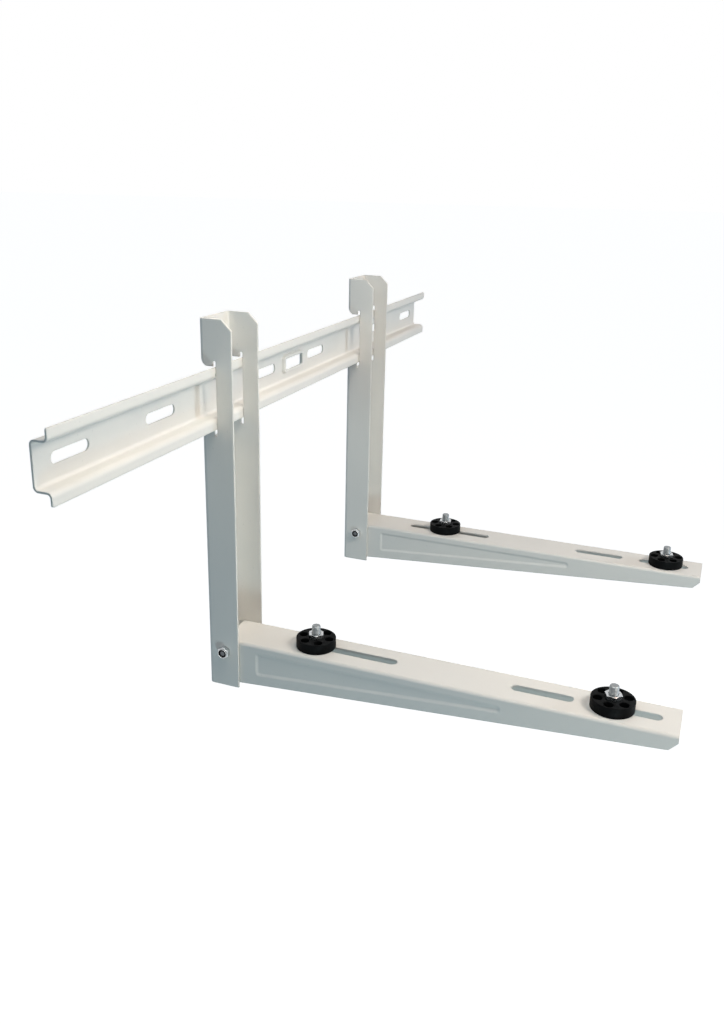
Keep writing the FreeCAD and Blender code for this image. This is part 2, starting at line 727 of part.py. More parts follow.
def check_parts(bodies):
    """Stop on any object that failed and on any sub-part that isn't one valid solid."""
    doc.recompute()
    for item in doc.Objects:
        if "Invalid" in item.State or "Error" in item.State:
            raise RuntimeError(f"{item.Name} failed: {item.State}")
    for body in bodies:
        shape = body.Shape
        if shape.isNull() or not shape.isValid() or len(shape.Solids) != 1:
            raise RuntimeError(f"{body.Label} isn't one valid solid")


bodies = make_parts()
check_parts(bodies)
os.makedirs("parts", exist_ok=True)
for body in bodies:
    body.Shape.exportStep(f"parts/{body.Label}.step")
    box = body.Shape.BoundBox
    size = f"{box.XLength:.1f} x {box.YLength:.1f} x {box.ZLength:.1f} mm"
    print(f"{body.Label}: {body.Shape.Volume:.0f} mm3, {size}")
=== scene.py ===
"""Wall bracket with a crossbar: coated sheet metal, rubber pads and plated fasteners.

Lengths here are metres. The packed model gives every place and main size.
"""

import json
import math

import bmesh
import bpy
from bpy.props import FloatProperty, FloatVectorProperty, IntProperty, PointerProperty
from bpy.types import Operator, Panel, PropertyGroup
from mathutils import Matrix, Quaternion, Vector

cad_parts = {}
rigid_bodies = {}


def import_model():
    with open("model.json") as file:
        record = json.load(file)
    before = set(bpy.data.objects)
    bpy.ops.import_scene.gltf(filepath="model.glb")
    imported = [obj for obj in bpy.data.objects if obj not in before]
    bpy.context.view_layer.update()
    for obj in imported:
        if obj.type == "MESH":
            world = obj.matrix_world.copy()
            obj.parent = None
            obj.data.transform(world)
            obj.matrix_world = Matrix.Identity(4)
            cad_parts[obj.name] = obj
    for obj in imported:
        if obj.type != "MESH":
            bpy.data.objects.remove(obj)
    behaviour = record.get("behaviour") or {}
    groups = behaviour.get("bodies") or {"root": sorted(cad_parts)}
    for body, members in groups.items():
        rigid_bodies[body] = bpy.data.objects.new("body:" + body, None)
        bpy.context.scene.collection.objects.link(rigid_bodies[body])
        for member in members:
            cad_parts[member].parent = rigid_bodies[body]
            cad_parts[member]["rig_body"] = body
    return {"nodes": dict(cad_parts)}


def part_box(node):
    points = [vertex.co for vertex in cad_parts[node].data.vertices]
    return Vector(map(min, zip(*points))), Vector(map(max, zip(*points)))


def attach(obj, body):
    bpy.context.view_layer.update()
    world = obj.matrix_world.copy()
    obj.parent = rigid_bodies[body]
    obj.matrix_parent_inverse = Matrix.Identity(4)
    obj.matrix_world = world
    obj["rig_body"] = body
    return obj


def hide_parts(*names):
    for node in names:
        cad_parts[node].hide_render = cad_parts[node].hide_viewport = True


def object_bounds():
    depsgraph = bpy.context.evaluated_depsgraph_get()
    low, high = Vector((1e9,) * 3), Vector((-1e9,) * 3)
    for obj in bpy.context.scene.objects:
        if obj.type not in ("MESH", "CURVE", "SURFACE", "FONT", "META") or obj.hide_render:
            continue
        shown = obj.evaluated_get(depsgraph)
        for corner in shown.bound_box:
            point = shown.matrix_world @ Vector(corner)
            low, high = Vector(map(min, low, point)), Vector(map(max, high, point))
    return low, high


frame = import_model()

bl_info = {
    "name": "Wall Bracket",
    "version": (1, 0, 0),
    "blender": (4, 5, 0),
    "location": "View3D > Sidebar > Bracket",
    "description": "Dresses a folded wall bracket with its coat, pads and fasteners",
    "category": "Object",
}

CAD_BOX = [list(corner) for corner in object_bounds()]
HANDS = ("left", "right")
ENDS = ("rear", "front")
SHEET_NODES = ["wall_rail"] + [f"{hand}_{piece}" for hand in HANDS for piece in ("upright", "arm")]
PAD_NODES = [f"{hand}_{end}_pad" for hand in HANDS for end in ENDS]

# Sides of the turned shapes: bolts and nuts, pads, and the holes of the pads. Then the distance at
# which two of their points are one, and the one at which a point is on a ring.
ROUND_STEPS = 72
PAD_STEPS = 144
HOLE_STEPS = 40
SAME_POINT = 1e-7
SAME_RING = 1e-6

# A hexagon: its round face as a share of its flats, the slope of its corners' chamfer, the small
# step that keeps the ring of corners apart from the face, and its shoulder or the bore's lead.
FACE_SHARE = 0.475
CORNER_SLOPE = math.tan(math.radians(30))
CORNER_STEP = 0.00001
SHOULDER = 0.0003

# A thread: its depth and the sharpness of its groove for a pitch of one, its rings for each turn,
# the play between a nut's bore and the bolt, and the plain length under the head of a pad's bolt.
THREAD_DEPTH = 0.61
GROOVE_SHARPNESS = 2.6
RINGS_PER_TURN = 8
THREAD_PLAY = 0.00006
STUD_PLAIN = 0.001

# The crimped rim of a lock nut's collar, as steps inwards and down in walls of its sheet.
COLLAR_WALL = 0.0003
CRIMP = ((0, 1), (0.3, 0.3), (1, 0), (1.6, 0.4), (1.7, 1.6))

# The insert in that collar: the play at its seat and round the bolt, how far it stays inside the
# collar, how far its lip reaches in for a pitch of one and how deep it is, and the chamfer of its
# rim, inwards and down, which the lip has the other way round.
SEAT_PLAY = 0.00002
BORE_PLAY = 0.00004
INSERT_INSET = 0.00055
LIP_REACH = 0.7
LIP_DEPTH = 0.0011
INSERT_CHAMFER = (0.0002, 0.0001)

# Rounded edges: width, segments and least angle. The sheet's angle takes in the panels' low rims.
BOLT_EDGE = (0.00008, 1, 40)
NUT_EDGE = (0.00015, 2, 20)
LOCK_NUT_EDGE = (0.00012, 2, 20)
WASHER_EDGE = (0.0002, 2, 40)
SHEET_EDGE_SEGMENTS = 2
SHEET_EDGE_ANGLE = 9

# The facets of a packed node that count as one point and as one plane.
WELD_GAP = 0.00002
FLAT_ANGLE = 0.4

# Lamps: name, place, aim, size and colour. The stage's setting of the same name is the power.
MIDDLE = (0, -0.10, -0.10)
LAMPS = (
    ("right_lamp", (0.84, -2.30, 0.35), MIDDLE, 0.4, (0.71, 0.87, 1.0)),
    ("front_lamp", (-0.25, -0.90, 0.55), MIDDLE, 0.3, (1.0, 0.93, 0.85)),
    ("low_lamp", (-0.93, -0.74, -0.79), (-0.20, -0.15, -0.15), 0.25, (0.67, 0.92, 1.0)),
    ("top_lamp", (-0.30, -0.25, 0.50), MIDDLE, 0.3, (1.0, 0.97, 0.90)),
    ("far_lamp", (0.25, -0.45, 0.75), (0.20, -0.25, -0.10), 0.3, (1.0, 0.55, 0.30)),
    ("tip_lamp", (-0.45, -0.55, -0.25), (-0.20, -0.38, -0.12), 0.2, (1.0, 0.65, 0.40)),
)

# The floor and the world, and the nearest that the camera sees. The glow makes the floor white in
# the picture, and the horizon is how softly the light behind the wall ends.
FLOOR_REACH = 30
FLOOR_COLOUR = (0.35, 0.35, 0.345, 1)
FLOOR_GLOW = 0.93
HORIZON = 0.1
NEAREST_VIEW = 0.01


class CoatSettings(PropertyGroup):
    """Powder coat on the folded steel."""

    colour: FloatVectorProperty(
        name="Colour", description="Main colour of the coat", subtype="COLOR",
        size=3, min=0, max=1, default=(0.770, 0.752, 0.712))
    shade: FloatVectorProperty(
        name="Shade", description="Colour that the coat drifts to", subtype="COLOR",
        size=3, min=0, max=1, default=(0.745, 0.732, 0.700))
    roughness: FloatProperty(
        name="Roughness", description="Least roughness of the coat", min=0, max=1, default=0.40)
    grain: FloatProperty(
        name="Grain", description="Depth of the coat's fine orange peel", unit="LENGTH",
        min=0, default=0.00006)
    edge: FloatProperty(
        name="Edge round", description="How far the coat rounds the cut edges", unit="LENGTH",
        min=0, default=0.00022)


class PlateSettings(PropertyGroup):
    """Zinc plating on the bolts, nuts and washers."""

    colour: FloatVectorProperty(
        name="Colour", description="Main colour of the plating", subtype="COLOR",
        size=3, min=0, max=1, default=(0.64, 0.66, 0.67))
    bloom: FloatProperty(
        name="Bloom", description="Brightness of the faint bloom on the plating", min=0, max=1,
        default=0.80)
    # Painted shade: the stud colour is the plating darkened to stand in for the bolts' darker
    # reflections.
    stud: FloatVectorProperty(
        name="Stud", description="Colour of the pads' bolts", subtype="COLOR",
        size=3, min=0, max=1, default=(0.29, 0.31, 0.32))
    # Painted shade: the pivot colour is the plating darkened to stand in for the shade on the
    # bolts' ends inside the lock nuts.
    pivot: FloatVectorProperty(
        name="Pivot", description="Colour of the dull pivot bolts", subtype="COLOR",
        size=3, min=0, max=1, default=(0.13, 0.14, 0.15))
    roughness: FloatProperty(
        name="Roughness", description="Least roughness of the plating", min=0, max=1, default=0.20)


class RubberSettings(PropertyGroup):
    """Black rubber of the pads."""

    colour: FloatVectorProperty(
        name="Colour", description="Colour of the rubber", subtype="COLOR",
        size=3, min=0, max=1, default=(0.0020, 0.0023, 0.0026))
    bloom: FloatVectorProperty(
        name="Bloom", description="Colour of the faint grey bloom on the rubber", subtype="COLOR",
        size=3, min=0, max=1, default=(0.0050, 0.0056, 0.0060))
    roughness: FloatProperty(
        name="Roughness", description="Least roughness of the rubber", min=0, max=1, default=0.42)


class PadSettings(PropertyGroup):
    """Shape of the pads beyond what the packed model gives."""

    bore: FloatProperty(
        name="Bore", description="Diameter of the pad's bore", unit="LENGTH", default=0.0082)
    hole: FloatProperty(
        name="Holes", description="Diameter of the ring's holes", unit="LENGTH", default=0.0082)
    ring: FloatProperty(
        name="Ring", description="Radius of the ring of holes", unit="LENGTH", default=0.0127)
    holes: IntProperty(name="Count", description="Holes in the ring", min=1, default=6)
    rim: FloatProperty(
        name="Rim round", description="Radius of the pad's rims", unit="LENGTH", default=0.0005)
    flare: FloatProperty(
        name="Hole round", description="Radius of the holes' rims", unit="LENGTH",
        default=0.0006)
    rest: FloatProperty(
        name="Rest", description="Play between a pad's foot and the coat, so that it slides free",
        unit="LENGTH", default=0.00002)
    turns: FloatVectorProperty(
        name="Turns", description="How far each pad's ring is turned, in the order of the pads",
        size=4, unit="ROTATION", default=[math.radians(turn) for turn in (30, 50, 35, 40)])


class FastenerSettings(PropertyGroup):
    """Sizes of the bolts and nuts."""

    stud: FloatProperty(
        name="Stud", description="Diameter of a pad's bolt", unit="LENGTH", default=0.008)
    stud_pitch: FloatProperty(
        name="Stud pitch", description="Pitch of its thread", unit="LENGTH", default=0.00125)
    stud_flats: FloatProperty(
        name="Stud flats", description="Width of its hexagons", unit="LENGTH", default=0.013)
    stud_head: FloatProperty(
        name="Stud head", description="Height of its head", unit="LENGTH", default=0.0053)
    stud_point: FloatProperty(
        name="Stud point", description="Chamfer at its end", unit="LENGTH", default=0.00055)
    nut_turns: FloatVectorProperty(
        name="Nut turns", description="How far each pad's nut is turned, in the order of the pads",
        size=4, unit="ROTATION", default=[math.radians(turn) for turn in (22, 22, 10, 12)])
    pivot: FloatProperty(
        name="Pivot", description="Diameter of a pivot bolt", unit="LENGTH", default=0.006)
    pivot_pitch: FloatProperty(
        name="Pivot pitch", description="Pitch of its thread", unit="LENGTH", default=0.001)
    pivot_flats: FloatProperty(
        name="Pivot flats", description="Width of its hexagons", unit="LENGTH", default=0.010)
    pivot_head: FloatProperty(
        name="Pivot head", description="Height of its head", unit="LENGTH", default=0.004)
    pivot_point: FloatProperty(
        name="Pivot point", description="Chamfer at its end", unit="LENGTH", default=0.0008)
    pivot_nut: FloatProperty(
        name="Pivot nut", description="Height of the nut's hexagon", unit="LENGTH", default=0.0044)
    pivot_thread: FloatProperty(
        name="Pivot thread", description="Length of its thread", unit="LENGTH", default=0.014)
    collar: FloatProperty(
        name="Collar", description="Diameter of the nut's collar", unit="LENGTH", default=0.0088)


class StageSettings(PropertyGroup):
    """Floor, lamps and camera."""

    floor_drop: FloatProperty(
        name="Floor drop", description="How far below the bracket the floor lies", unit="LENGTH",
        default=0.62)
    left_sky: FloatVectorProperty(
        name="Left sky", description="Light from behind on the left", subtype="COLOR",
        size=3, min=0, default=(0.27, 0.41, 0.53))
    right_sky: FloatVectorProperty(
        name="Right sky", description="Light from behind on the right", subtype="COLOR",
        size=3, min=0, default=(0.37, 0.35, 0.32))
    right_lamp: FloatProperty(
        name="Right lamp", description="Power of the far lamp on the right", default=18.6)
    front_lamp: FloatProperty(
        name="Front lamp", description="Power of the lamp in front", default=5.4)
    low_lamp: FloatProperty(
        name="Low lamp", description="Power of the low lamp on the left", default=3.6)
    top_lamp: FloatProperty(
        name="Top lamp", description="Power of the lamp above the left arm", default=1.9)
    far_lamp: FloatProperty(
        name="Far lamp", description="Power of the lamp above the right arm", default=0.8)
    tip_lamp: FloatProperty(
        name="Tip lamp", description="Power of the small lamp by the left arm's tip",
        default=0.14)
    camera_place: FloatVectorProperty(
        name="Camera place", description="Where the camera stands", subtype="XYZ", unit="LENGTH",
        size=3, default=(-0.8770, -0.4113, 0.1877))
    camera_azimuth: FloatProperty(
        name="Camera azimuth", description="Which way the camera looks, from +Y towards +X",
        unit="ROTATION", default=math.radians(67.92))
    camera_dip: FloatProperty(
        name="Camera dip", description="How far the camera looks down", unit="ROTATION",
        default=math.radians(18.98))
    camera_roll: FloatProperty(
        name="Camera roll", description="How far the camera is rolled", unit="ROTATION",
        default=math.radians(0.85))
    lens: FloatProperty(
        name="Lens", description="Focal length in millimetres", min=1, default=33.6)
    shift: FloatVectorProperty(
        name="Shift", description="Shift of the lens", size=2, default=(0.02256, -0.01572))


SETTINGS = {
    "bracket_coat": CoatSettings,
    "bracket_plate": PlateSettings,
    "bracket_rubber": RubberSettings,
    "bracket_pad": PadSettings,
    "bracket_fastener": FastenerSettings,
    "bracket_stage": StageSettings,
}


def add_node(tree, kind, inputs=None, **values):
    """Add a node with its settings, and set or link its inputs."""
    node = tree.nodes.new(kind)
    for name, value in values.items():
        setattr(node, name, value)
    for name, value in (inputs or {}).items():
        if isinstance(value, bpy.types.NodeSocket):
            tree.links.new(value, node.inputs[name])
        else:
            node.inputs[name].default_value = value
    return node


def add_noise(tree, place, scale, detail=2.0, roughness=0.5, stretch=None):
    """Add noise on the object's own coordinates, with its features stretched if asked."""
    if stretch is not None:
        place = add_node(tree, "ShaderNodeMapping", {"Vector": place, "Scale": stretch}).outputs[0]
    inputs = {"Vector": place, "Scale": scale, "Detail": detail, "Roughness": roughness}
    return add_node(tree, "ShaderNodeTexNoise", inputs).outputs["Fac"]


def add_range(tree, value, low, high, start=0.35, stop=0.65):
    """Spread a value's range, by default the middle of a noise, over another range."""
    inputs = {"Value": value, "From Min": start, "From Max": stop, "To Min": low, "To Max": high}
    return add_node(tree, "ShaderNodeMapRange", inputs).outputs["Result"]


def add_blend(tree, amount, first, second):
    """Blend two colours by an amount."""
    mix = add_node(tree, "ShaderNodeMix", data_type="RGBA")
    tree.links.new(amount, mix.inputs["Factor"])
    for socket, colour in (("A", first), ("B", second)):
        target = next(s for s in mix.inputs if s.name == socket and s.type == "RGBA")
        if isinstance(colour, bpy.types.NodeSocket):
            tree.links.new(colour, target)
        else:
            target.default_value = (*colour, 1)
    return next(s for s in mix.outputs if s.type == "RGBA")


def darker(colour, share):
    """Give a colour scaled to a share of its brightness."""
    return [channel * share for channel in colour]


def start_material(name):
    """Start a material and give it with its tree, its shader and the object's coordinates."""
    material = bpy.data.materials.new(name)
    material.use_nodes = True
    tree = material.node_tree
    shader = tree.nodes["Principled BSDF"]
    place = add_node(tree, "ShaderNodeTexCoord").outputs["Object"]
    return material, tree, shader, place


def powder_coat(settings):
    """Make the satin powder coat: a slow drift of colour, fine orange peel and a few specks."""
    material, tree, shader, place = start_material("powder_coat")
    drift = add_range(tree, add_noise(tree, place, scale=9.0, detail=3.0), 0, 1)
    speck = add_noise(tree, place, scale=420.0, detail=2.0)
    specks = add_range(tree, speck, 0, 1, start=0.70, stop=0.76)
    colour = add_blend(tree, drift, settings.colour, settings.shade)
    colour = add_blend(tree, specks, colour, darker(settings.shade, 0.93))
    tree.links.new(colour, shader.inputs["Base Color"])
    gloss = add_noise(tree, place, scale=55.0, detail=3.0)
    low = settings.roughness
    tree.links.new(add_range(tree, gloss, low, low + 0.09), shader.inputs["Roughness"])
    soft = add_node(tree, "ShaderNodeBevel", {"Radius": 0.0012}, samples=6)
    peel = add_noise(tree, place, scale=900.0, detail=3.0, roughness=0.55)
    wave = add_noise(tree, place, scale=22.0, detail=1.0)
    fine = add_node(tree, "ShaderNodeBump", {
        "Height": peel, "Strength": 0.35, "Distance": settings.grain,
        "Normal": soft.outputs["Normal"]})
    slow = add_node(tree, "ShaderNodeBump", {
        "Height": wave, "Strength": 0.25, "Distance": 0.0004, "Normal": fine.outputs["Normal"]})
    tree.links.new(slow.outputs["Normal"], shader.inputs["Normal"])
    shader.inputs["IOR"].default_value = 1.48
    return material


def plated(name, colour, bloom, roughness, crease_shade_reach):
    """Make a plated metal: a faint bloom, painted shade that darkens its creases, drawn streaks
    and small dull spots.
    """
    material, tree, shader, place = start_material(name)
    cloud = add_range(tree, add_noise(tree, place, scale=260.0, detail=3.0), 0, 1)
    blend = add_blend(tree, cloud, colour, darker(colour, bloom))
    # Painted shade: the colour darkens towards near black where other surfaces come close, in
    # creases, threads and under nuts.
    nearby = add_node(tree, "ShaderNodeAmbientOcclusion", {"Distance": crease_shade_reach}, samples=8)
    clear = add_range(tree, nearby.outputs["AO"], 0, 1, start=0.20, stop=0.80)
    painted_crease_shade = (0.07, 0.08, 0.09)
    blend = add_blend(tree, clear, painted_crease_shade, blend)
    tree.links.new(blend, shader.inputs["Base Color"])
    spot = add_noise(tree, place, scale=900.0, detail=3.0, roughness=0.6)
    tree.links.new(add_range(tree, spot, roughness, roughness + 0.10), shader.inputs["Roughness"])
    streak = add_noise(tree, place, scale=500.0, stretch=(1.0, 1.0, 6.0))
    bump = add_node(tree, "ShaderNodeBump", {
        "Height": streak, "Strength": 0.08, "Distance": 0.00003})
    tree.links.new(bump.outputs["Normal"], shader.inputs["Normal"])
    shader.inputs["Metallic"].default_value = 1.0
    return material


def zinc_plate(settings):
    """Make the bright zinc plating of the nuts and washers."""
    return plated(
        "zinc_plate", settings.colour, settings.bloom, settings.roughness, crease_shade_reach=0.0015)


def stud_zinc(settings):
    """Make the plating of the pads' bolts: a darker grey copy of the zinc, as painted shade for
    their darker reflections, and smoother.
    """
    return plated(
        "stud_zinc", settings.stud, bloom=0.95, roughness=settings.roughness + 0.15,
        crease_shade_reach=0.0004)


def pivot_zinc(settings):
    """Make the dull plating of the pivot bolts, darkened far below the zinc as painted shade for
    their ends inside the lock nuts.
    """
    return plated(
        "pivot_zinc", settings.pivot, settings.bloom, roughness=settings.roughness + 0.2,
        crease_shade_reach=0.0015)


def moulded_rubber(settings):
    """Make the pads' black rubber: a faint bloom and a fine moulded grain."""
    material, tree, shader, place = start_material("moulded_rubber")
    bloom = add_range(tree, add_noise(tree, place, scale=130.0, detail=4.0), 0, 1)
    colour = add_blend(tree, bloom, settings.colour, settings.bloom)
    tree.links.new(colour, shader.inputs["Base Color"])
    scuff = add_noise(tree, place, scale=380.0, detail=3.0, roughness=0.6)
    low = settings.roughness
    tree.links.new(add_range(tree, scuff, low, low + 0.2), shader.inputs["Roughness"])
    grain = add_noise(tree, place, scale=1600.0, detail=3.0, roughness=0.6)
    bump = add_node(tree, "ShaderNodeBump", {
        "Height": grain, "Strength": 0.4, "Distance": 0.00008})
    tree.links.new(bump.outputs["Normal"], shader.inputs["Normal"])
    shader.inputs["Specular IOR Level"].default_value = 0.04
    return material


def finish_of(name):
    """Find a finish, or make it from its settings the first time."""
    makers = {
        "powder_coat": (powder_coat, "bracket_coat"),
        "zinc_plate": (zinc_plate, "bracket_plate"),
        "stud_zinc": (stud_zinc, "bracket_plate"),
        "pivot_zinc": (pivot_zinc, "bracket_plate"),
        "moulded_rubber": (moulded_rubber, "bracket_rubber"),
    }
    if name in bpy.data.materials:
        return bpy.data.materials[name]
    make, settings = makers[name]
    return make(getattr(bpy.context.scene, settings))


def coat_node(name, finish):
    """Give a node of the packed model its finish."""
    node = frame["nodes"][name]
    node.data.materials.clear()
    node.data.materials.append(finish_of(finish))
    return node


def smooth(piece):
    """Shade a piece smooth, with its large faces kept flat."""
    for face in piece.data.polygons:
        face.use_smooth = True
    piece.modifiers.new("shading", "WEIGHTED_NORMAL").weight = 100


def round_edges(piece, width, segments, angle):
    """Round the edges that are sharper than an angle in degrees, and shade the rest smooth."""
    bevel = piece.modifiers.new("edge_round", "BEVEL")
    bevel.width = width
    bevel.segments = segments
    bevel.limit_method = "ANGLE"
    bevel.angle_limit = math.radians(angle)
    smooth(piece)


def merge_facets(piece):
    """Merge a node's loose triangles into one skin with flat faces."""
    weld = piece.modifiers.new("weld", "WELD")
    weld.merge_threshold = WELD_GAP
    planar = piece.modifiers.new("planar", "DECIMATE")
    planar.decimate_type = "DISSOLVE"
    planar.angle_limit = math.radians(FLAT_ANGLE)


def turned(profile, steps, closed=False):
    """Turn a profile of radius and height round the Z axis."""
    shape = bmesh.new()
    points = [shape.verts.new((radius, 0, height)) for radius, height in profile]
    edges = [shape.edges.new(pair) for pair in zip(points, points[1:])]
    if closed:
        edges.append(shape.edges.new((points[-1], points[0])))
    bmesh.ops.spin(
        shape, geom=points + edges, cent=(0, 0, 0), axis=(0, 0, 1), dvec=(0, 0, 0),
        angle=2 * math.pi, steps=steps, use_merge=True, use_normal_flip=False)
    bmesh.ops.remove_doubles(shape, verts=shape.verts, dist=SAME_POINT)
    bmesh.ops.recalc_face_normals(shape, faces=shape.faces)
    return shape


def hexed(shape, flats, mark, chamfers):
    """Pull the rings at the mark's radius out to a hexagon with two corners on the X axis.

    chamfers gives, for a ring's height, the slope that its chamfer leaves it by.
    """
    for point in shape.verts:
        radius = math.hypot(point.co.x, point.co.y)
        if abs(radius - mark) > SAME_RING:
            continue
        angle = math.atan2(point.co.y, point.co.x)
        across = math.radians(math.degrees(angle) % 60 - 30)
        reach = flats / 2 / math.cos(across)
        height = min(chamfers, key=lambda z: abs(z - point.co.z))
        lift = (reach - flats / 2) * chamfers[height]
        point.co = (reach * math.cos(angle), reach * math.sin(angle), point.co.z + lift)


def threaded(shape, diameter, pitch, start, stop):
    """Cut a thread into a turned rod between two heights, fading at its start."""
    depth = THREAD_DEPTH * pitch
    for point in shape.verts:
        radius = math.hypot(point.co.x, point.co.y)
        if radius < diameter / 4 or not start < point.co.z < stop:
            continue
        angle = math.atan2(point.co.y, point.co.x)
        phase = (point.co.z / pitch - angle / (2 * math.pi)) % 1
        groove = max(0, 1 - abs(phase - 0.5) * GROOVE_SHARPNESS)
        fade = min(1, (point.co.z - start) / pitch)
        cut = min(radius, diameter / 2 - depth * groove * fade)
        point.co.x *= cut / radius
        point.co.y *= cut / radius


def rod_profile(diameter, length, pitch, point):
    """List the profile of a rod's side from its foot to its chamfered end."""
    rings = round(length / (pitch / RINGS_PER_TURN))
    profile = []
    for index in range(rings + 1):
        height = length * index / rings
        radius = min(diameter / 2, diameter / 2 - point + (length - height))
        profile.append((radius, height))
    return profile + [(0, length)]


def bolt_shape(flats, head, diameter, pitch, point, length, thread_start):
    """Make a hex bolt that points up, its head's bearing face at the origin."""
    corner = flats / math.sqrt(3)
    face = flats * FACE_SHARE
    profile = [(0, -head), (face, -head), (corner, -head + CORNER_STEP), (corner, -SHOULDER)]
    profile += [(face, -SHOULDER), (face, 0)]
    rod = rod_profile(diameter, length, pitch, point)
    shape = turned(profile + rod, ROUND_STEPS)
    hexed(shape, flats, corner, {-head: CORNER_SLOPE, -SHOULDER: 0})
    threaded(shape, diameter, pitch, thread_start, length)
    return shape


def nut_shape(flats, height, bore, collar=0, collar_height=0):
    """Make a hex nut that stands on the origin, with a crimped collar if asked."""
    corner = flats / math.sqrt(3)
    face = flats * FACE_SHARE
    inner = bore / 2
    profile = [(inner, SHOULDER), (inner + SHOULDER, 0), (face, 0), (corner, CORNER_STEP)]
    profile += [(corner, height - CORNER_STEP), (face, height)]
    if collar:
        top = height + collar_height
        rim = [
            (collar / 2 - COLLAR_WALL * inwards, top - COLLAR_WALL * down)
            for inwards, down in CRIMP]
        profile += [(collar / 2, height), *rim, (rim[-1][0], height), (inner, height)]
    else:
        profile += [(inner + SHOULDER, height), (inner, height - SHOULDER)]
    shape = turned(profile, ROUND_STEPS, closed=True)
    hexed(shape, flats, corner, {0: CORNER_SLOPE, height: -CORNER_SLOPE})
    return shape


def insert_shape(sizes, height):
    """Make the insert ring in a lock nut's collar, whose lip closes over the bolt's chamfer."""
    seat = sizes.pivot_nut + SEAT_PLAY
    hole = sizes.pivot / 2 + BORE_PLAY
    outside = sizes.collar / 2 - INSERT_INSET
    top = height - COLLAR_WALL
    lip = hole - sizes.pivot_pitch * LIP_REACH
    inwards, down = INSERT_CHAMFER
    profile = [(hole, seat), (outside, seat), (outside, top - down), (outside - inwards, top)]
    profile += [(lip + down, top), (lip, top - inwards), (hole, top - LIP_DEPTH)]
    return turned(profile, ROUND_STEPS, closed=True)


def move(shape, place, turn=0, axis="Z"):
    """Turn a shape and set it at its place."""
    bmesh.ops.transform(
        shape, matrix=Matrix.Translation(place) @ Matrix.Rotation(turn, 4, axis),
        verts=shape.verts)


def add_piece(name, shape, finish):
    """Make an object of a shape with its finish."""
    bmesh.ops.recalc_face_normals(shape, faces=shape.faces)
    mesh = bpy.data.meshes.new(name)
    shape.to_mesh(mesh)
    shape.free()
    piece = bpy.data.objects.new(name, mesh)
    bpy.context.scene.collection.objects.link(piece)
    mesh.materials.append(finish_of(finish))
    return piece


def settle(piece, node):
    """Let a piece stand for a node and ride with it."""
    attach(piece, frame["nodes"][node]["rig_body"])
    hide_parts(node)


def middle_of(node):
    """Give the middle of a node's box."""
    low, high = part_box(node)
    return (Vector(low) + Vector(high)) / 2


def carve(piece, cutter):
    """Cut one object out of another and remove the cutter."""
    cut = piece.modifiers.new("carve", "BOOLEAN")
    cut.operation = "DIFFERENCE"
    cut.solver = "EXACT"
    cut.object = cutter
    result = bpy.data.meshes.new_from_object(
        piece.evaluated_get(bpy.context.evaluated_depsgraph_get()))
    piece.modifiers.clear()
    old = piece.data
    piece.data = result
    result.name = old.name
    bpy.data.meshes.remove(old)
    bpy.data.objects.remove(cutter)


def spool(radius, flare, low, high):
    """Make a cutter for a hole whose two rims are rounded."""
    arc = [math.radians(angle) for angle in (30, 60, 90)]
    steps = [(flare * (1 - math.sin(a)), flare * (1 - math.cos(a))) for a in arc]
    profile = [(0, low - flare), (radius + flare, low - flare), (radius + flare, low)]
    profile += [(radius + side, low + rise) for side, rise in steps]
    profile += [(radius + side, high - rise) for side, rise in reversed(steps)]
    profile += [(radius + flare, high), (radius + flare, high + flare), (0, high + flare)]
    return turned(profile, HOLE_STEPS)


def pad_disc(diameter, bore, height, rim):
    """Make a pad's disc with rounded rims and its bore."""
    outside = diameter / 2
    inside = bore / 2
    profile = [(inside, rim / 2), (inside + rim / 2, 0)]
    arc = [math.radians(angle) for angle in (0, 22.5, 45, 67.5, 90)]
    profile += [(outside - rim + rim * math.sin(a), rim - rim * math.cos(a)) for a in arc]
    profile += [
        (outside - rim + rim * math.cos(a), height - rim + rim * math.sin(a)) for a in arc]
    profile += [(inside + rim / 2, height), (inside, height - rim / 2)]
    return turned(profile, PAD_STEPS, closed=True)


def ring_of_holes(settings, turn, height):
    """Make one cutter of all the holes in a pad's ring."""
    cutters = bmesh.new()
    for index in range(settings.holes):
        angle = turn + 2 * math.pi * index / settings.holes
        place = (settings.ring * math.cos(angle), settings.ring * math.sin(angle), 0)
        hole = spool(settings.hole / 2, settings.flare, 0, height)
        move(hole, place)
        mesh = bpy.data.meshes.new("hole")
        hole.to_mesh(mesh)
        hole.free()
        cutters.from_mesh(mesh)
        bpy.data.meshes.remove(mesh)
    return cutters


def dress_sheet(name):
    """Give one folded part its coat and its rounded edges."""
    node = coat_node(name, "powder_coat")
    merge_facets(node)
    width = bpy.context.scene.bracket_coat.edge
    round_edges(node, width, SHEET_EDGE_SEGMENTS, SHEET_EDGE_ANGLE)


class BRACKET_OT_sheet_metal(Operator):
    """Coat the rail, the uprights and the arms"""

    bl_idname = "bracket.sheet_metal"
    bl_label = "Coat the sheet metal"

    def execute(self, context):
        for name in SHEET_NODES:
            dress_sheet(name)
        return {"FINISHED"}


class BRACKET_OT_pads(Operator):
    """Mould the four pads with their rings of holes"""

    bl_idname = "bracket.pads"
    bl_label = "Mould the pads"

    def execute(self, context):
        settings = context.scene.bracket_pad
        for node, turn in zip(PAD_NODES, settings.turns):
            low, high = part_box(node)
            middle = middle_of(node)
            height = high[2] - low[2] - settings.rest
            disc = pad_disc(high[0] - low[0], settings.bore, height, settings.rim)
            piece = add_piece(f"{node}_moulded", disc, "moulded_rubber")
            cutters = ring_of_holes(settings, turn, height)
            carve(piece, add_piece("hole_cutter", cutters, "moulded_rubber"))
            piece.data.transform(Matrix.Translation(
                (middle.x, middle.y, low[2] + settings.rest)))
            smooth(piece)
            settle(piece, node)
        return {"FINISHED"}


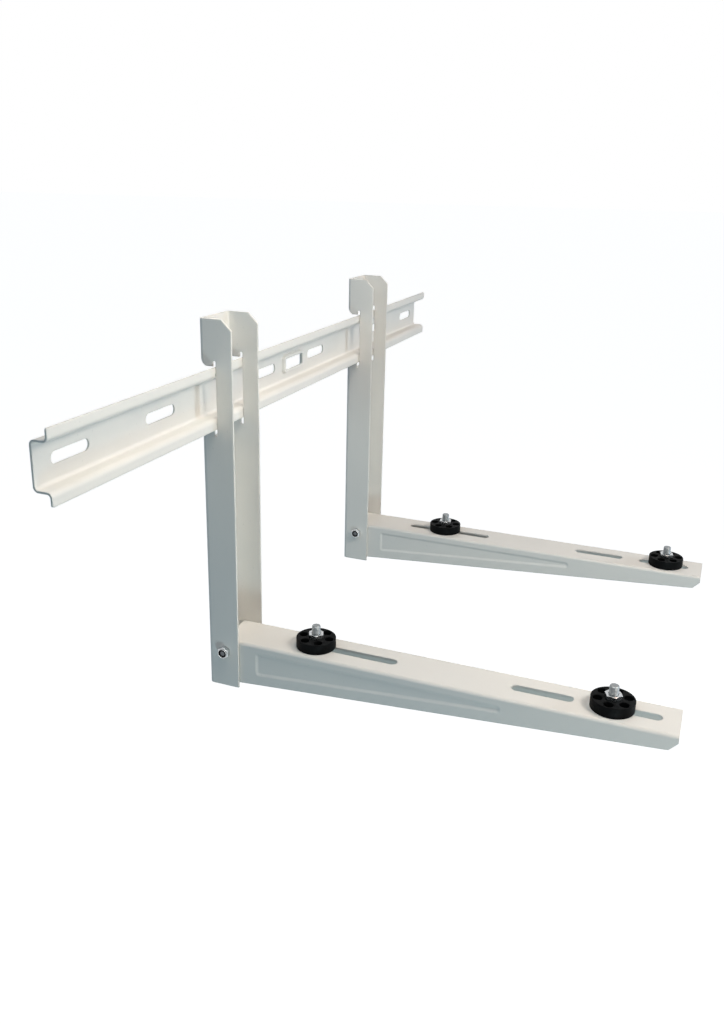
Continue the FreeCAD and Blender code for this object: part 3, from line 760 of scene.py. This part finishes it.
class BRACKET_OT_pad_fasteners(Operator):
    """Make each pad's bolt and thin nut, and plate its washer"""

    bl_idname = "bracket.pad_fasteners"
    bl_label = "Fasten the pads"

    def execute(self, context):
        sizes = context.scene.bracket_fastener
        for node, turn in zip(PAD_NODES, sizes.nut_turns):
            middle = middle_of(node)
            low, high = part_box(f"{node}_bolt")
            length = high[2] - low[2] - sizes.stud_head
            bolt = bolt_shape(
                sizes.stud_flats, sizes.stud_head, sizes.stud, sizes.stud_pitch,
                sizes.stud_point, length, STUD_PLAIN)
            move(bolt, (middle.x, middle.y, low[2] + sizes.stud_head))
            piece = add_piece(f"{node}_stud", bolt, "stud_zinc")
            round_edges(piece, *BOLT_EDGE)
            settle(piece, f"{node}_bolt")

            low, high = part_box(f"{node}_nut")
            nut = nut_shape(sizes.stud_flats, high[2] - low[2], sizes.stud + THREAD_PLAY)
            move(nut, (middle.x, middle.y, low[2]), turn)
            piece = add_piece(f"{node}_thin_nut", nut, "zinc_plate")
            round_edges(piece, *NUT_EDGE)
            settle(piece, f"{node}_nut")

            washer = coat_node(f"{node}_washer", "zinc_plate")
            merge_facets(washer)
            round_edges(washer, *WASHER_EDGE)
        return {"FINISHED"}


class BRACKET_OT_pivots(Operator):
    """Make the two pivot bolts and their lock nuts"""

    bl_idname = "bracket.pivots"
    bl_label = "Make the pivots"

    def execute(self, context):
        sizes = context.scene.bracket_fastener
        turn = math.radians(-90)
        for hand in HANDS:
            low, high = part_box(f"{hand}_pivot_bolt")
            middle = middle_of(f"{hand}_pivot_bolt")
            length = high[0] - low[0] - sizes.pivot_head
            bolt = bolt_shape(
                sizes.pivot_flats, sizes.pivot_head, sizes.pivot, sizes.pivot_pitch,
                sizes.pivot_point, length, length - sizes.pivot_thread)
            move(bolt, (high[0] - sizes.pivot_head, middle.y, middle.z), turn, "Y")
            piece = add_piece(f"{hand}_pivot_hex_bolt", bolt, "pivot_zinc")
            round_edges(piece, *BOLT_EDGE)
            settle(piece, f"{hand}_pivot_bolt")

            low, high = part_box(f"{hand}_pivot_nut")
            height = high[0] - low[0]
            nut = nut_shape(
                sizes.pivot_flats, sizes.pivot_nut, sizes.pivot + THREAD_PLAY, sizes.collar,
                height - sizes.pivot_nut)
            place = (high[0], middle.y, middle.z)
            move(nut, place, turn, "Y")
            piece = add_piece(f"{hand}_pivot_lock_nut", nut, "zinc_plate")
            round_edges(piece, *LOCK_NUT_EDGE)
            settle(piece, f"{hand}_pivot_nut")

            insert = insert_shape(sizes, height)
            move(insert, place, turn, "Y")
            # The insert is a real part. Its black rubber finish is painted shade for the shadowed
            # inside of the collar.
            piece = add_piece(f"{hand}_pivot_nut_insert", insert, "moulded_rubber")
            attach(piece, f"{hand}_bracket")
        return {"FINISHED"}


def add_lamp(name, place, aim, size, power, colour):
    """Hang a soft square lamp at its place, turned to its aim."""
    lamp = bpy.data.lights.new(name, "AREA")
    lamp.shape = "SQUARE"
    lamp.size = size
    lamp.energy = power
    lamp.color = colour
    holder = bpy.data.objects.new(name, lamp)
    holder.location = place
    way = Vector(aim) - Vector(place)
    holder.rotation_euler = way.to_track_quat("-Z", "Y").to_euler()
    holder.visible_camera = False
    bpy.context.scene.collection.objects.link(holder)


def plain_rays(tree):
    """Give 1 for camera, glossy and transmission rays, and 0 for the rays that carry light."""
    rays = add_node(tree, "ShaderNodeLightPath").outputs
    seen = add_node(tree, "ShaderNodeMath", {
        0: rays["Is Camera Ray"], 1: rays["Is Glossy Ray"]}, operation="MAXIMUM")
    return add_node(tree, "ShaderNodeMath", {
        0: seen.outputs[0], 1: rays["Is Transmission Ray"]}, operation="MAXIMUM").outputs[0]


def floor_finish():
    """Make the floor's plain pale finish, which the camera sees as white with the shadow kept."""
    material, tree, shader, place = start_material("pale_floor")
    shader.inputs["Base Color"].default_value = FLOOR_COLOUR
    grain = add_noise(tree, place, scale=40.0)
    tree.links.new(add_range(tree, grain, 0.75, 0.85), shader.inputs["Roughness"])
    shader.inputs["Specular IOR Level"].default_value = 0.0
    shader.inputs["Emission Color"].default_value = (1, 1, 1, 1)
    glow = add_node(tree, "ShaderNodeMath", {
        0: plain_rays(tree), 1: FLOOR_GLOW}, operation="MULTIPLY")
    tree.links.new(glow.outputs[0], shader.inputs["Emission Strength"])
    return material


def set_world(left, right):
    """Light the bracket from behind the wall alone, and show the world itself as white."""
    world = bpy.data.worlds.new("studio")
    bpy.context.scene.world = world
    world.use_nodes = True
    tree = world.node_tree
    tree.nodes.clear()
    way = add_node(tree, "ShaderNodeSeparateXYZ", {
        0: add_node(tree, "ShaderNodeTexCoord").outputs["Generated"]})
    behind = add_range(tree, way.outputs["Y"], 0, 1, -HORIZON, HORIZON)
    side = add_range(tree, way.outputs["X"], 0, 1, -HORIZON, HORIZON)
    light = add_node(tree, "ShaderNodeBackground", {
        "Color": add_blend(tree, side, left, right), "Strength": behind})
    white = add_node(tree, "ShaderNodeBackground", {"Color": (1, 1, 1, 1), "Strength": 1.0})
    mix = add_node(tree, "ShaderNodeMixShader", {
        0: plain_rays(tree), 1: light.outputs[0], 2: white.outputs[0]})
    add_node(tree, "ShaderNodeOutputWorld", {"Surface": mix.outputs[0]})


class BRACKET_OT_stage(Operator):
    """Lay the floor, hang the lamps and set the camera"""

    bl_idname = "bracket.stage"
    bl_label = "Set the stage"

    def execute(self, context):
        settings = context.scene.bracket_stage
        foot = CAD_BOX[0][2]
        sheet = bmesh.new()
        bmesh.ops.create_grid(sheet, x_segments=1, y_segments=1, size=FLOOR_REACH)
        move(sheet, (0, 0, foot - settings.floor_drop))
        mesh = bpy.data.meshes.new("floor")
        sheet.to_mesh(mesh)
        sheet.free()
        floor = bpy.data.objects.new("floor", mesh)
        context.scene.collection.objects.link(floor)
        mesh.materials.append(floor_finish())

        set_world(settings.left_sky, settings.right_sky)
        for name, place, aim, size, colour in LAMPS:
            add_lamp(name, place, aim, size, getattr(settings, name), colour)

        lens = bpy.data.cameras.new("camera")
        lens.lens = settings.lens
        lens.shift_x, lens.shift_y = settings.shift
        lens.clip_start = NEAREST_VIEW
        camera = bpy.data.objects.new("camera", lens)
        camera.location = settings.camera_place
        flat = math.cos(settings.camera_dip)
        ahead = Vector((
            flat * math.sin(settings.camera_azimuth),
            flat * math.cos(settings.camera_azimuth),
            -math.sin(settings.camera_dip)))
        roll = Quaternion((0, 0, 1), settings.camera_roll)
        camera.rotation_mode = "QUATERNION"
        camera.rotation_quaternion = ahead.to_track_quat("-Z", "Y") @ roll
        context.scene.collection.objects.link(camera)
        context.scene.camera = camera
        context.scene.view_settings.view_transform = "Standard"
        return {"FINISHED"}


class BRACKET_PT_panel(Panel):
    """List the bracket's pieces and settings"""

    bl_idname = "BRACKET_PT_panel"
    bl_label = "Wall Bracket"
    bl_space_type = "VIEW_3D"
    bl_region_type = "UI"
    bl_category = "Bracket"

    def draw(self, context):
        for operator in OPERATORS:
            self.layout.operator(operator.bl_idname)
        for name, group in SETTINGS.items():
            box = self.layout.box()
            box.label(text=group.__doc__)
            for word in group.__annotations__:
                box.prop(getattr(context.scene, name), word)


OPERATORS = (
    BRACKET_OT_sheet_metal,
    BRACKET_OT_pads,
    BRACKET_OT_pad_fasteners,
    BRACKET_OT_pivots,
    BRACKET_OT_stage,
)
CLASSES = (*SETTINGS.values(), *OPERATORS, BRACKET_PT_panel)


def register():
    """Register the classes and give the scene its settings."""
    for kind in CLASSES:
        bpy.utils.register_class(kind)
    for name, group in SETTINGS.items():
        setattr(bpy.types.Scene, name, PointerProperty(type=group))


def unregister():
    """Take the settings and the classes away."""
    for name in SETTINGS:
        delattr(bpy.types.Scene, name)
    for kind in reversed(CLASSES):
        bpy.utils.unregister_class(kind)


def main():
    """Make the bracket and the stage."""
    register()
    bpy.ops.bracket.sheet_metal()
    bpy.ops.bracket.pads()
    bpy.ops.bracket.pad_fasteners()
    bpy.ops.bracket.pivots()
    bpy.ops.bracket.stage()


if __name__ == "__main__":
    main()
